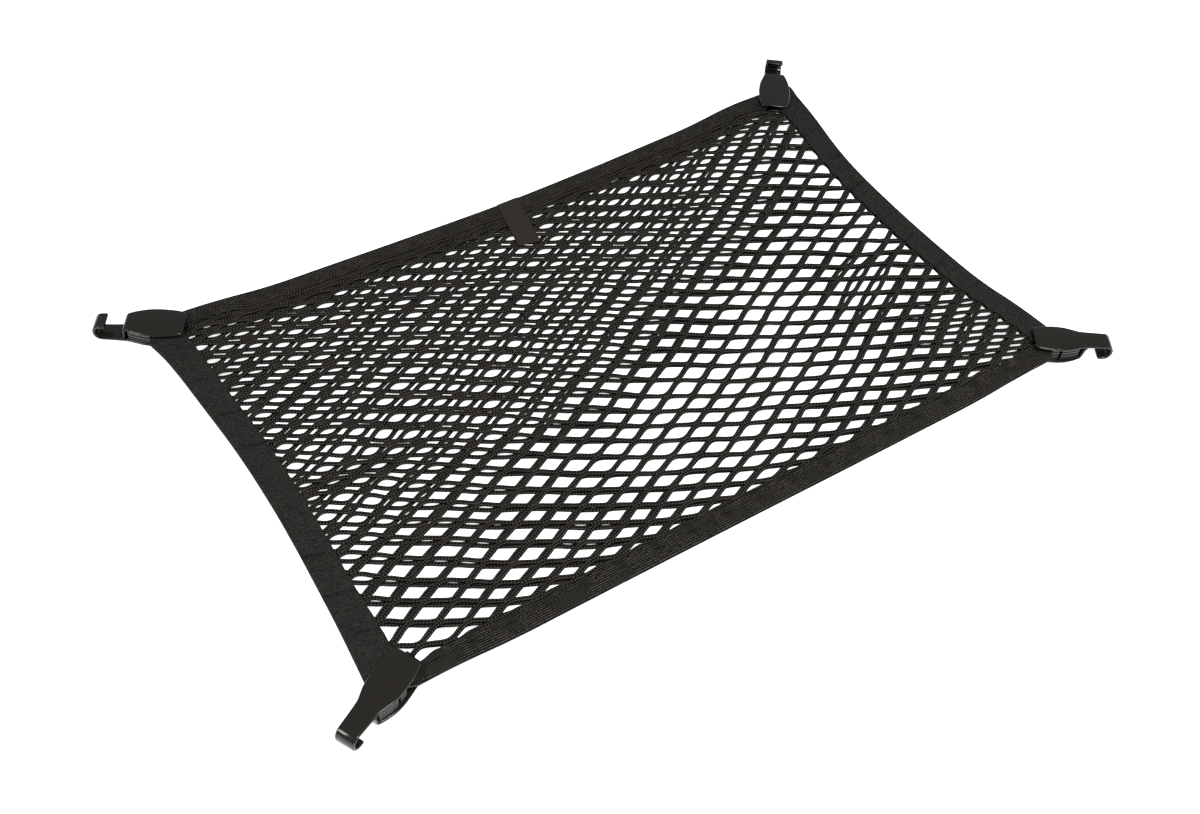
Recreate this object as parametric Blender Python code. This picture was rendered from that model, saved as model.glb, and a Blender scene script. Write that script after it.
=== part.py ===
"""Two-layer luggage net for a car boot, lying spread on a floor.

Two layers of knitted diamond netting are sewn between folded bands: woven webbing on
the two short sides and elastic on the front long side. Along the back each layer has
its own flat elastic, so that the net opens there like an envelope, and a ribbon tab
to pull it open lies over that edge. A two-piece plastic hook clamps each corner, so
the corners stand a little off the floor and the middle sags down onto it.

The sizes below are in millimetres and the meshes are made in metres. The origin is
on the floor under the middle, +X runs along the long side, +Y to the opening edge.
"""

import math

import bmesh
import bpy
import numpy as np
from mathutils import Matrix, Vector
from mathutils.geometry import delaunay_2d_cdt

MM = 0.001
CLEARANCE = 0.3  # between pieces that touch on the real net

# Netting: the real mesh is 38 x 21.3 mm, and every second strand is built here.
MESH_LONG, MESH_SHORT = 38.0, 21.3
STRAND_STEP = 2
STRAND_WIDTH = 7.0
MOST_HOLES = 150  # in each layer
NET_THICK, NET_EDGE_THICK = 2.0, 0.7
NET_INSET = 4.0  # from a band's outer edge to the netting's cut edge
NET_HOOK_GAP = 3.2  # the netting's corners stop this far short of a hook
NET_HALF_X, NET_HALF_Y = 320.0, 200.0  # flat size between the bands, halved
HOLE_UNDER_BAND = 1.0
LEAST_HOLE = 60.0  # square millimetres
EDGE_BLEND = 8.0  # the netting thickens over this width beside a band

# Bands: a folded strip, 4.5 mm thick in all, that encloses both layers.
BAND_THICK, FOLD_THICK, FOLD_ROUND = 0.9, 1.2, 0.7
STACK_THICK = 4.5
PAST_ANY_BAND = 1000.0  # a profile reaching this far is cut off at the inner edge
SAMPLES_PER_ROW = 3

# Hooks: a long plate with a J at its end, and a cover that clamps the corner.
HOOK_HIGH = 17.0
PLATE_THICK = 2.5
COVER_LONG = 50.0
ARM_END = 73.0  # where the J begins to turn
J_OUTER, J_LIP = 5.0, 4.0
TONGUE_FROM, TONGUE_TO, TONGUE_HALF, TONGUE_HIGH = -2.2, -0.7, 4.0, 13.0
JAW_FROM, JAW_TO, JAW_HALF = 6.0, 26.0, 8.0
BLOCK_FROM, BLOCK_TO, BLOCK_INSET = 30.0, 46.0, 1.5
JOIN_DEPTH = 0.5  # a jaw or a block starts this deep inside its plate
PAST_HOOK = 3.0  # how far a trimming solid reaches past what it trims
MITRE_IN, MITRE_OUT, MITRE_HALF_GAP = 5.0, 27.0, 0.4
ARC_STEPS, TABLE_STEPS = 4, 6
PLATE_STEPS, COVER_STEPS, BLOCK_STEPS = 33, 21, 7

# The corners are held at the hooks' mid height and sink to the floor away from them.
CLAMP_AT = 13.0  # the clamp's centre, measured along the hook
LEVEL_RADIUS, SLOPE_LENGTH = 22.0, 100.0

# Ribbon tab: its centre line at the outer edge and at its free end.
TAB_WIDE, TAB_THICK = 23.0, 1.2
TAB_TOP, TAB_END = (8.0, 208.4), (-4.0, 145.5)
TAB_ROWS = 6
TAB_STEP_FROM, TAB_STEP_LONG = 0.3, 0.4  # shares of its length where it steps down

# columns: net-end x, net-end y, heading in degrees, upside down
HOOKS = {
    "front_left": (-326.8, -203.3, 206.4, True),
    "front_right": (327.9, -202.0, -33.9, True),
    "back_left": (-332.0, 202.6, 147.0, False),
    "back_right": (323.7, 185.5, 52.4, False),
}

# columns: distance from the net end, half width
HOOK_OUTLINE = (
    (0.0, 9.0),
    (1.2, 10.8),
    (4.0, 12.4),
    (12.0, 14.4),
    (24.0, 15.2),
    (34.0, 14.2),
    (42.0, 11.9),
    (47.0, 10.4),
    (53.0, 9.7),
    (63.0, 8.9),
    (80.0, 8.0),
)

# columns: outer edge x, outer edge y, inner edge x, inner edge y
LEFT_BAND = (
    (-360.9, -200.4, -328.8, -198.0),
    (-358.5, -175.0, -328.4, -175.0),
    (-353.6, -120.0, -326.6, -120.0),
    (-349.9, -55.0, -323.7, -55.0),
    (-348.7, 0.0, -322.6, 0.0),
    (-350.0, 60.0, -323.9, 60.0),
    (-354.6, 120.0, -328.0, 120.0),
    (-360.6, 172.0, -332.2, 172.0),
    (-364.0, 199.0, -334.6, 197.0),
)
RIGHT_BAND = (
    (356.8, -200.4, 331.2, -197.5),
    (353.8, -172.0, 328.6, -172.0),
    (348.8, -120.0, 323.4, -120.0),
    (345.3, -55.0, 319.8, -55.0),
    (344.3, 0.0, 318.8, 0.0),
    (345.8, 60.0, 320.2, 60.0),
    (351.2, 120.0, 325.0, 120.0),
    (357.6, 165.0, 329.4, 163.0),
    (361.0, 192.0, 330.0, 182.0),
)
FRONT_BAND = (
    (-327.5, -223.6, -317.0, -208.0),
    (-290.0, -223.4, -288.0, -204.3),
    (-200.0, -223.5, -200.0, -204.1),
    (-100.0, -224.2, -100.0, -204.8),
    (0.0, -225.2, 0.0, -205.8),
    (100.0, -226.4, 100.0, -206.9),
    (200.0, -227.3, 200.0, -207.8),
    (290.0, -228.0, 288.0, -208.4),
    (328.5, -228.3, 317.0, -207.5),
)
BACK_BAND = (
    (-327.5, 222.6, -322.0, 206.5),
    (-285.0, 220.2, -283.0, 201.8),
    (-196.0, 216.3, -196.0, 197.9),
    (-100.0, 212.0, -100.0, 193.6),
    (0.0, 208.6, 0.0, 190.2),
    (100.0, 209.4, 100.0, 191.0),
    (196.0, 212.4, 196.0, 194.0),
    (280.0, 214.9, 278.0, 196.2),
    (325.9, 213.8, 313.0, 192.5),
)

# columns: side, direction through its stations, hook at its end; once around the net
AROUND = (
    ("front", 1, "front_right"),
    ("right", 1, "back_right"),
    ("back", -1, "back_left"),
    ("left", -1, "front_left"),
)

# name: linear base colour, roughness
FINISHES = {
    "knitted_cord": ((0.011, 0.010, 0.009), 0.75),
    "woven_webbing": ((0.014, 0.014, 0.013), 0.65),
    "ribbed_elastic": ((0.012, 0.011, 0.010), 0.7),
    "ribbon": ((0.018, 0.017, 0.017), 0.7),
    "moulded_plastic": ((0.022, 0.021, 0.018), 0.45),
}


def hook_axes(name):
    """The hook's net-end point and its outward and leftward directions, in plan."""
    x, y, heading, _ = HOOKS[name]
    angle = math.radians(heading)
    outward = np.array((math.cos(angle), math.sin(angle)))
    return np.array((x, y)), outward, np.array((-outward[1], outward[0]))


def hook_point(name, along, aside):
    """The plan point this far along and aside of a hook's own axis."""
    start, outward, leftward = hook_axes(name)
    return start + along * outward + aside * leftward


def side_of(name, point):
    """-1 or 1: the side of the hook's axis on which the plan point lies."""
    start, _, leftward = hook_axes(name)
    return math.copysign(1.0, (np.asarray(point) - start) @ leftward)


def rise(points):
    """Height above the floor's lie: full inside a clamp, then down two joined parabolas."""
    points = np.asarray(points, float)
    clamps = np.array([hook_point(name, CLAMP_AT, 0.0) for name in HOOKS])
    away = np.linalg.norm(points[:, None, :2] - clamps, axis=2).min(axis=1)
    share = np.clip((away - LEVEL_RADIUS) / SLOPE_LENGTH, 0.0, 1.0)
    fall = np.where(share < 0.5, 2 * share**2, 1 - 2 * (1 - share) ** 2)
    return (HOOK_HIGH - STACK_THICK) / 2 * (1 - fall)


def smooth_rows(rows, samples):
    """A Catmull-Rom curve through the rows, with this many samples to each interval."""
    rows = np.asarray(rows, float)
    ends = np.vstack((2 * rows[0] - rows[1], rows, 2 * rows[-1] - rows[-2]))
    place = np.linspace(0, len(rows) - 1, samples * (len(rows) - 1) + 1)
    first = np.minimum(place.astype(int), len(rows) - 2)
    t = (place - first)[:, None]
    a, b, c, d = (ends[first + step] for step in range(4))
    return 0.5 * (
        2 * b + (c - a) * t + (2 * a - 5 * b + 4 * c - d) * t**2 + (3 * b - a - 3 * c + d) * t**3
    )


def band_stations(rows, first_hook, last_hook):
    """Outer and inner edge points along a band, ending at the mitre inside each hook."""
    body = smooth_rows(rows, SAMPLES_PER_ROW)
    ends = []
    for hook, near in ((first_hook, body[0]), (last_hook, body[-1])):
        aside = MITRE_HALF_GAP * side_of(hook, near[:2])
        ends.append(
            np.concatenate((hook_point(hook, MITRE_OUT, aside), hook_point(hook, MITRE_IN, aside)))
        )
    return np.vstack((ends[0], body, ends[1]))


def make_material(name):
    colour, roughness = FINISHES[name]
    material = bpy.data.materials.new(name)
    material.use_nodes = True
    shader = material.node_tree.nodes["Principled BSDF"]
    shader.inputs["Base Color"].default_value = (*colour, 1.0)
    shader.inputs["Roughness"].default_value = roughness
    shader.inputs["Metallic"].default_value = 0.0
    material.diffuse_color = (*colour, 1.0)
    return material


def add_object(name, mesh, finish, collection):
    obj = bpy.data.objects.new(name, mesh)
    if not mesh.materials:
        mesh.materials.append(bpy.data.materials[finish])
    collection.objects.link(obj)
    return obj


def mesh_from(name, points, faces):
    """A mesh in metres from points in millimetres, with its faces turned outwards."""
    mesh = bpy.data.meshes.new(name)
    mesh.from_pydata((np.asarray(points) * MM).tolist(), [], [tuple(map(int, f)) for f in faces])
    work = bmesh.new()
    work.from_mesh(mesh)
    bmesh.ops.recalc_face_normals(work, faces=work.faces)
    work.to_mesh(mesh)
    work.free()
    return mesh


def loft(name, sections):
    """One closed solid through sections of equal length, each a closed loop of points."""
    sections = np.asarray(sections)
    count, size, _ = sections.shape
    index = np.arange(count * size).reshape(count, size)
    after = np.roll(index, -1, axis=1)
    walls = np.stack((index[:-1], after[:-1], after[1:], index[1:]), axis=2).reshape(-1, 4)
    caps = [index[0][::-1], index[-1]]
    return mesh_from(name, sections.reshape(-1, 3), [*walls, *caps])


def band_sections(stations, profile):
    """The profile, as distance in from the outer edge and height, set at each station."""
    outer, inner = stations[:, None, :2], stations[:, None, 2:]
    width = np.linalg.norm(inner - outer, axis=2)
    share = np.clip(profile[None, :, 0] / width, 0.0, 1.0)
    plan = outer + (inner - outer) * share[:, :, None]
    height = profile[None, :, 1] + rise(plan.reshape(-1, 2)).reshape(plan.shape[:2])
    return np.concatenate((plan, height[:, :, None]), axis=2)


def folded_profile():
    """A U lying on its side: two flanges and the fold, whose outer corners are eased."""
    wide, top = PAST_ANY_BAND, STACK_THICK
    return np.array(
        (
            (FOLD_ROUND, 0.0),
            (wide, 0.0),
            (wide, BAND_THICK),
            (FOLD_THICK, BAND_THICK),
            (FOLD_THICK, top - BAND_THICK),
            (wide, top - BAND_THICK),
            (wide, top),
            (FOLD_ROUND, top),
            (0.0, top - FOLD_ROUND),
            (0.0, FOLD_ROUND),
        )
    )


def flat_profile(low):
    wide, high = PAST_ANY_BAND, low + BAND_THICK
    return np.array(((0.0, low), (wide, low), (wide, high), (0.0, high)))


def add_bands(stations, collection):
    for side in ("left", "right", "front"):
        sections = band_sections(stations[side], folded_profile())
        finish = "ribbed_elastic" if side == "front" else "woven_webbing"
        add_object(f"band_{side}", loft(f"band_{side}", sections), finish, collection)
    for level, low in (("bottom", 0.0), ("top", STACK_THICK - BAND_THICK)):
        name = f"band_back_{level}"
        sections = band_sections(stations["back"], flat_profile(low))
        add_object(name, loft(name, sections), "ribbed_elastic", collection)


def net_outline(stations):
    """The netting's cut edge: inside each band, and across the corner before each hook."""
    outline = []
    for side, way, hook in AROUND:
        rows = stations[side][4:-4][::way]
        outer, inner = rows[:, :2], rows[:, 2:]
        width = np.linalg.norm(inner - outer, axis=1, keepdims=True)
        outline.extend(outer + (inner - outer) * NET_INSET / width)
        start = side_of(hook, rows[-1, :2])
        for aside in (start, -start):
            outline.append(hook_point(hook, -NET_HOOK_GAP, aside * 2 * TONGUE_HALF))
    return np.array(outline)


def clip_to_window(polygon, half_x, half_y):
    """The part of a polygon inside the rectangle, by cutting along one side at a time."""
    for axis, limit, sign in ((0, half_x, 1), (0, half_x, -1), (1, half_y, 1), (1, half_y, -1)):
        kept = []
        for here, after in zip(polygon, polygon[1:] + polygon[:1]):
            inside, next_inside = sign * here[axis] <= limit, sign * after[axis] <= limit
            if inside:
                kept.append(here)
            if inside != next_inside:
                t = (sign * limit - here[axis]) / (after[axis] - here[axis])
                kept.append(tuple(a + t * (b - a) for a, b in zip(here, after)))
        polygon = kept
    return polygon


def polygon_area(polygon):
    x, y = np.asarray(polygon).T
    return abs(x @ np.roll(y, -1) - y @ np.roll(x, -1)) / 2


def inner_edge(stations, side, along, place):
    """A side's inner edge: its other coordinate where this one has the given values."""
    rows = stations[side][:, 2:]
    order = np.argsort(rows[:, along])
    return np.interp(place, rows[order, along], rows[order, 1 - along])


def inside_bands(stations, plan):
    """How far each plan point lies inside the nearest inner edge; negative under a band."""
    x, y = plan.T
    return np.minimum.reduce(
        (
            x - inner_edge(stations, "left", 1, y),
            inner_edge(stations, "right", 1, y) - x,
            y - inner_edge(stations, "front", 0, x),
            inner_edge(stations, "back", 0, x) - y,
        )
    )


def into_frame(flat, stations):
    """Carries points of the flat rectangle into the space between the inner edges."""
    share_x, share_y = (flat[:, 0] / NET_HALF_X + 1) / 2, (flat[:, 1] / NET_HALF_Y + 1) / 2
    left = inner_edge(stations, "left", 1, flat[:, 1])
    right = inner_edge(stations, "right", 1, flat[:, 1])
    front = inner_edge(stations, "front", 0, flat[:, 0])
    back = inner_edge(stations, "back", 0, flat[:, 0])
    return np.stack((left + (right - left) * share_x, front + (back - front) * share_y), axis=1)


def net_holes(stations):
    """Diamond holes in plan, without those nearest to a hook.

    They are laid out on a true rectangle, clipped a little past it, and carried into the
    space between the bands' bowed inner edges."""
    step_x, step_y = STRAND_STEP * MESH_LONG / 2, STRAND_STEP * MESH_SHORT / 2
    to_strand = step_x * step_y / math.hypot(step_x, step_y)
    shrink = 1 - STRAND_WIDTH / 2 / to_strand
    reach_x, reach_y = int(NET_HALF_X / step_x) + 1, int(NET_HALF_Y / step_y) + 1
    holes = []
    for column in range(-reach_x, reach_x + 1):
        for row in range(-reach_y, reach_y + 1):
            if (column + row) % 2 == 0:
                continue
            x, y = column * step_x, row * step_y
            corners = [
                (x + step_x * shrink, y),
                (x, y + step_y * shrink),
                (x - step_x * shrink, y),
                (x, y - step_y * shrink),
            ]
            cut = clip_to_window(corners, NET_HALF_X + HOLE_UNDER_BAND, NET_HALF_Y + HOLE_UNDER_BAND)
            if len(cut) > 2 and polygon_area(cut) > LEAST_HOLE:
                holes.append(into_frame(np.array(cut), stations))
    net_ends = np.array([hook_point(name, 0.0, 0.0) for name in HOOKS])
    to_hook = [np.linalg.norm(hole.mean(axis=0) - net_ends, axis=1).min() for hole in holes]
    farthest_first = np.argsort(to_hook, kind="stable")[::-1]
    return [holes[number] for number in farthest_first[:MOST_HOLES]]


def inside_loops(points, loops):
    """Even-odd test of the points against all loops together."""
    odd = np.zeros(len(points), bool)
    x, y = points[:, :1], points[:, 1:]
    for loop in loops:
        x0, y0 = loop.T
        x1, y1 = np.roll(loop, -1, axis=0).T
        spans = (y0 > y) != (y1 > y)
        with np.errstate(divide="ignore", invalid="ignore"):
            cross = x0 + (y - y0) * (x1 - x0) / (y1 - y0)
        odd ^= (spans & (x < cross)).sum(axis=1) % 2 == 1
    return odd


def net_plan(stations):
    """Plan points and triangles of the netting between its holes."""
    loops = [net_outline(stations), *net_holes(stations)]
    band_edge = np.vstack([stations[side][::way, 2:] for side, way, _ in AROUND])
    edges, count = [], 0
    for loop in (*loops, band_edge):
        index = count + np.arange(len(loop))
        edges.extend(zip(index.tolist(), np.roll(index, -1).tolist()))
        count += len(loop)
    points = [Vector(point) for point in np.vstack((*loops, band_edge)).tolist()]
    made = delaunay_2d_cdt(points, edges, [], 0, 1e-4)
    plan = np.array([tuple(point) for point in made[0]])
    triangles = np.array(made[2])
    triangles = triangles[inside_loops(plan[triangles].mean(axis=1), loops)]
    used, index = np.unique(triangles, return_inverse=True)
    return plan[used], index.reshape(triangles.shape)


def add_nets(stations, collection):
    """Both layers: the same plan at two heights, thinner where a band holds it."""
    plan, triangles = net_plan(stations)
    t = np.clip(inside_bands(stations, plan) / EDGE_BLEND, 0.0, 1.0)
    open_share = t * t * (3 - 2 * t)
    ends = np.concatenate((triangles[:, [0, 1]], triangles[:, [1, 2]], triangles[:, [2, 0]]))
    known = {tuple(e) for e in ends.tolist()}
    rim = np.array([e for e in ends.tolist() if (e[1], e[0]) not in known])
    count = len(plan)
    middle = STACK_THICK / 2
    half_gap = CLEARANCE / 2
    layers = {
        "net_bottom": ((middle - half_gap - NET_EDGE_THICK, middle - half_gap), (0.0, NET_THICK)),
        "net_top": (
            (middle + half_gap, middle + half_gap + NET_EDGE_THICK),
            (NET_THICK + CLEARANCE, 2 * NET_THICK + CLEARANCE),
        ),
    }
    for name, (at_edge, in_open) in layers.items():
        low, high = (
            edge + (free - edge) * open_share + rise(plan) for edge, free in zip(at_edge, in_open)
        )
        points = np.vstack((np.column_stack((plan, low)), np.column_stack((plan, high))))
        walls = np.column_stack((rim, rim[:, ::-1] + count))
        faces = [*triangles[:, ::-1], *(triangles + count), *walls]
        add_object(name, mesh_from(name, points, faces), "knitted_cord", collection)


def add_tab(collection):
    """A flat ribbon that lies on the back elastic and on the netting in front of it."""
    top, end = np.array(TAB_TOP), np.array(TAB_END)
    along = (end - top) / np.linalg.norm(end - top)
    aside = np.array((-along[1], along[0])) * TAB_WIDE / 2
    share = np.linspace(0.0, 1.0, TAB_ROWS)
    on_band, on_net = STACK_THICK + CLEARANCE, 2 * NET_THICK + 2 * CLEARANCE
    low = on_band + (on_net - on_band) * np.clip((share - TAB_STEP_FROM) / TAB_STEP_LONG, 0.0, 1.0)
    centre = top + (end - top) * share[:, None]
    sections = [
        [(*(c + aside * s), z + h) for s, h in ((-1, 0), (1, 0), (1, TAB_THICK), (-1, TAB_THICK))]
        for c, z in zip(centre, low)
    ]
    add_object("pull_tab", loft("pull_tab", sections), "ribbon", collection)


def flat_curve_mesh(name, outline, half_depth, matrix):
    """A closed outline filled on both sides and extruded, as a welded mesh in place."""
    curve = bpy.data.curves.new(name, "CURVE")
    curve.dimensions = "2D"
    curve.fill_mode = "BOTH"
    curve.extrude = half_depth * MM
    spline = curve.splines.new("POLY")
    spline.points.add(len(outline) - 1)
    for point, (x, y) in zip(spline.points, outline):
        point.co = (x * MM, y * MM, 0.0, 1.0)
    spline.use_cyclic_u = True
    holder = bpy.data.objects.new(name, curve)
    bpy.context.scene.collection.objects.link(holder)
    graph = bpy.context.evaluated_depsgraph_get()
    mesh = bpy.data.meshes.new_from_object(holder.evaluated_get(graph))
    bpy.data.objects.remove(holder)
    bpy.data.curves.remove(curve)
    mesh.transform(matrix)
    work = bmesh.new()
    work.from_mesh(mesh)
    bmesh.ops.remove_doubles(work, verts=work.verts, dist=1e-6)
    bmesh.ops.recalc_face_normals(work, faces=work.faces)
    work.to_mesh(mesh)
    work.free()
    return mesh


def upright_slab(name, outline, low, high):
    """An outline seen from above, as a solid between two heights."""
    lift = Matrix.Translation((0.0, 0.0, (low + high) / 2 * MM))
    return flat_curve_mesh(name, outline, (high - low) / 2, lift)


def hook_half_width(along):
    table = smooth_rows(HOOK_OUTLINE, TABLE_STEPS)
    return np.interp(along, table[:, 0], table[:, 1])


def hook_plan(start, end, steps, inset=0.0):
    """The hook's outline between two distances from its net end, drawn in by the inset."""
    along = np.linspace(start, end, steps)
    half = hook_half_width(along) - inset
    return [*zip(along, -half), *zip(along[::-1], half[::-1])]


def arc(centre, radius, start, end):
    angles = np.radians(np.linspace(start, end, ARC_STEPS + 1))
    return [(centre[0] + radius * math.cos(a), centre[1] + radius * math.sin(a)) for a in angles]


def plate_side_view():
    """The long plate from the side: tongue, flat arm, and the J that turns back over it."""
    inner = J_OUTER - PLATE_THICK
    low_turn, high_turn = (ARM_END, J_OUTER), (ARM_END, HOOK_HIGH - J_OUTER)
    return [
        (TONGUE_FROM, 0.0),
        *arc(low_turn, J_OUTER, -90, 0),
        *arc(high_turn, J_OUTER, 0, 90),
        (ARM_END - J_LIP, HOOK_HIGH),
        (ARM_END - J_LIP, HOOK_HIGH - PLATE_THICK),
        *arc(high_turn, inner, 90, 0),
        *arc(low_turn, inner, 0, -90),
        (TONGUE_TO, PLATE_THICK),
        (TONGUE_TO, TONGUE_HIGH),
        (TONGUE_FROM, TONGUE_HIGH),
    ]


def combined(name, base, steps):
    """The base mesh after exact Booleans with the other meshes, in their order."""
    holders = [bpy.data.objects.new(name, base)]
    for number, (operation, mesh) in enumerate(steps):
        other = bpy.data.objects.new(f"{name}_{number}", mesh)
        modifier = holders[0].modifiers.new(f"step_{number}", "BOOLEAN")
        modifier.operation = operation
        modifier.solver = "EXACT"
        modifier.object = other
        holders.append(other)
    for holder in holders:
        bpy.context.scene.collection.objects.link(holder)
    graph = bpy.context.evaluated_depsgraph_get()
    made = bpy.data.meshes.new_from_object(holders[0].evaluated_get(graph))
    for holder in holders:
        bpy.data.objects.remove(holder)
    made.name = name
    return made


def long_plate_mesh():
    """The J seen from the side, trimmed to the bottle-shaped outline, plus its clamp jaw."""
    upright = Matrix.Rotation(math.pi / 2, 4, "X")
    widest = max(half for _, half in HOOK_OUTLINE)
    side = flat_curve_mesh("side", plate_side_view(), widest + PAST_HOOK, upright)
    tongue_end = TONGUE_FROM - PAST_HOOK
    outline = [
        (0.0, TONGUE_HALF),
        (tongue_end, TONGUE_HALF),
        (tongue_end, -TONGUE_HALF),
        (0.0, -TONGUE_HALF),
        *hook_plan(0.0, HOOK_OUTLINE[-1][0], PLATE_STEPS),
    ]
    trim = upright_slab("trim", outline, -PAST_HOOK, HOOK_HIGH + PAST_HOOK)
    jaw = upright_slab("jaw", jaw_plan(), PLATE_THICK - JOIN_DEPTH, jaw_height())
    return combined("hook_plate", side, (("INTERSECT", trim), ("UNION", jaw)))


def jaw_plan():
    return [(JAW_FROM, -JAW_HALF), (JAW_TO, -JAW_HALF), (JAW_TO, JAW_HALF), (JAW_FROM, JAW_HALF)]


def jaw_height():
    return (HOOK_HIGH - STACK_THICK) / 2 - CLEARANCE


def cover_mesh():
    """The cover plate with its clamp jaw and the block that spaces it off the long plate."""
    low = HOOK_HIGH - PLATE_THICK
    cover = upright_slab("cover", hook_plan(0.0, COVER_LONG, COVER_STEPS), low, HOOK_HIGH)
    jaw = upright_slab("jaw", jaw_plan(), HOOK_HIGH - jaw_height(), low + JOIN_DEPTH)
    block_plan = hook_plan(BLOCK_FROM, BLOCK_TO, BLOCK_STEPS, BLOCK_INSET)
    block = upright_slab("block", block_plan, PLATE_THICK + CLEARANCE, low + JOIN_DEPTH)
    return combined("hook_cover", cover, (("UNION", jaw), ("UNION", block)))


def add_hooks(collection):
    meshes = {"hook_plate": long_plate_mesh(), "hook_cover": cover_mesh()}
    for corner, (x, y, heading, upside_down) in HOOKS.items():
        turn = Matrix.Rotation(math.radians(heading), 4, "Z")
        place = Matrix.Translation((x * MM, y * MM, 0.0)) @ turn
        if upside_down:
            lift = Matrix.Translation((0.0, 0.0, HOOK_HIGH * MM))
            place = place @ lift @ Matrix.Rotation(math.pi, 4, "X")
        for piece, mesh in meshes.items():
            obj = add_object(f"{piece}_{corner}", mesh, "moulded_plastic", collection)
            obj.matrix_world = place


def centre_on_origin(pieces):
    """Moves all pieces alike, so that the middle of their common box is over the origin."""
    world = [obj.matrix_world @ vertex.co for obj in pieces for vertex in obj.data.vertices]
    points = np.array([tuple(point) for point in world])
    x, y, _ = (points.min(axis=0) + points.max(axis=0)) / 2
    shift = Matrix.Translation((-x, -y, 0.0))
    for obj in pieces:
        obj.matrix_world = shift @ obj.matrix_world


def main():
    for obj in list(bpy.data.objects):
        bpy.data.objects.remove(obj)
    for name in FINISHES:
        make_material(name)
    collection = bpy.data.collections.new("cargo_net")
    bpy.context.scene.collection.children.link(collection)
    stations = {
        "left": band_stations(LEFT_BAND, "front_left", "back_left"),
        "right": band_stations(RIGHT_BAND, "front_right", "back_right"),
        "front": band_stations(FRONT_BAND, "front_left", "front_right"),
        "back": band_stations(BACK_BAND, "back_left", "back_right"),
    }
    add_nets(stations, collection)
    add_bands(stations, collection)
    add_tab(collection)
    add_hooks(collection)
    centre_on_origin(collection.objects)


main()
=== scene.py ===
"""Looks of a two-layer car boot cargo net that lies spread on a floor.

The netting's cords, the edge bands with their seams, the ribbon tab and the clamp hooks
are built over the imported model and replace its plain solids. Sizes are in millimetres
in the tables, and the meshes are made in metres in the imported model's own frame: origin
on the floor under the middle, +X along the long side, +Y to the opening edge.
"""

import math

import bpy
import numpy as np
from mathutils import Matrix, Vector


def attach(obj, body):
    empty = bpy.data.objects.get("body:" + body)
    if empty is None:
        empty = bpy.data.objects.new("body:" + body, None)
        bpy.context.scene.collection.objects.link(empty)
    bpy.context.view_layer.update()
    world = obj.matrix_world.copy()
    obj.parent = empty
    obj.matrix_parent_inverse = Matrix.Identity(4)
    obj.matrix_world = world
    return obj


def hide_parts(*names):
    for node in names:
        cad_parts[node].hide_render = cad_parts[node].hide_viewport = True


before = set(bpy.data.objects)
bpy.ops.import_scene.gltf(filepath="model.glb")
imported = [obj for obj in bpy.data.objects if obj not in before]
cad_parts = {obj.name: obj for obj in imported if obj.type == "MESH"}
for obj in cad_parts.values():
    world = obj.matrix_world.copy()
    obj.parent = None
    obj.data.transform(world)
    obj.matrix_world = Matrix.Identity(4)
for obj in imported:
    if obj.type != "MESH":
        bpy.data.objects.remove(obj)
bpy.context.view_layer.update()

MM = 0.001
TABLE_SHIFT = np.array((2.335, -0.006))  # from the tables' middle to the model's

# Netting: two layers of knotless diamond mesh, knitted from a flat herringbone cord.
MESH_LONG, MESH_SHORT = 38.0, 21.3
CORD_ROWS, CORD_REACH = (-26, 26), (-20.0, 21.0)  # from and up to, in half meshes
FIELD_HALF = (345.0, 220.0)  # cords past these, in the hooks' corners, are left out
CORD_WIDE, CORD_THICK = 4.9, 1.9
CORD_SHOULDER = 0.78  # of the half width and half thickness, at a section's corners
CORD_STEP = 2.6  # between the sections of a cord
JOINT_HALF = 1.5  # from a joint's middle to either cord's
BEND_SHARP = 0.54  # of a cord at a joint: 1 is a corner, less is rounder
NET_UNDER_BAND = 6.0  # how far the cords run in under a band's inner edge
NET_EDGE_THICK = 0.7  # pressed between a band's folds
EDGE_BLEND = 8.0  # over this width beside a band a layer comes to its open height
NET_THICK, CLEARANCE = 2.0, 0.3

# Bands
BAND_THICK, STACK_THICK = 0.9, 4.5
JOINT_PITCH = 35.0  # between the joints of the mesh that are sewn under an elastic
SEAM_IN = 6.5  # from a band's inner edge to its seam
STITCH_LONG, STITCH_PITCH, STITCH_WIDE = 2.7, 3.6, 0.6
THREAD_LIFT = 0.12  # of a stitch's middle over the seam's groove
LOOK_AHEAD = 0.5  # along a seam, to find its direction
# A stitch's rings. Columns: share of its half length, share of its radius, dip.
STITCH_RINGS = ((-1.0, 0.5, 0.22), (-0.6, 1.0, 0.0), (0.6, 1.0, 0.0), (1.0, 0.5, 0.22))
SWELL = 0.4  # share of an edge's waves that comes and goes along it
SWELL_LONG = 37.0  # millimetres to a radian of that

# Hooks
HOOK_HIGH = 17.0
PLATE_THICK = 2.5
ARM_END, J_OUTER, J_LIP = 70.4, 7.6, 4.4
COVER_THICK, COVER_FLAT, COVER_FOOT = 2.2, 46.5, 0.9  # the foot's middle over the arm
RAMP_LONG, RAMP_BEND, RAMP_TURN = 7.0, 3.0, 68.0  # the turn in degrees
FOOT_NARROWER = 0.93  # the ramp's foot against the arm it stands on
CORNER_LONG, CORNER_WIDE = 5.0, 3.5  # the cover's two round corners at the net end
EDGE_ROUND, COVER_ROUND = 1.2, 1.1
ROUND_ROWS = (0.0, 0.12, 0.3, 0.6, 1.0)  # sections in a rounded end, as shares of it
ROUND_ANGLES = (0, 30, 60, 90)  # degrees, round a section's corner
END_THIN = 0.9  # how far an end shrinks in thickness, as a share of that in width
ARC_STEP, RUN_STEP = 9.0, 1.5  # degrees and millimetres between a side view's points
BLOCK_FROM, BLOCK_TO, BLOCK_ROWS = 28.0, 46.5, 24
BLOCK_RIB, BLOCK_RIB_PITCH = 0.22, 1.7
WALL_FROM, WALL_TO, WALL_ROWS, WALL_THICK = 18.0, 25.5, 8, 2.0
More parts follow.
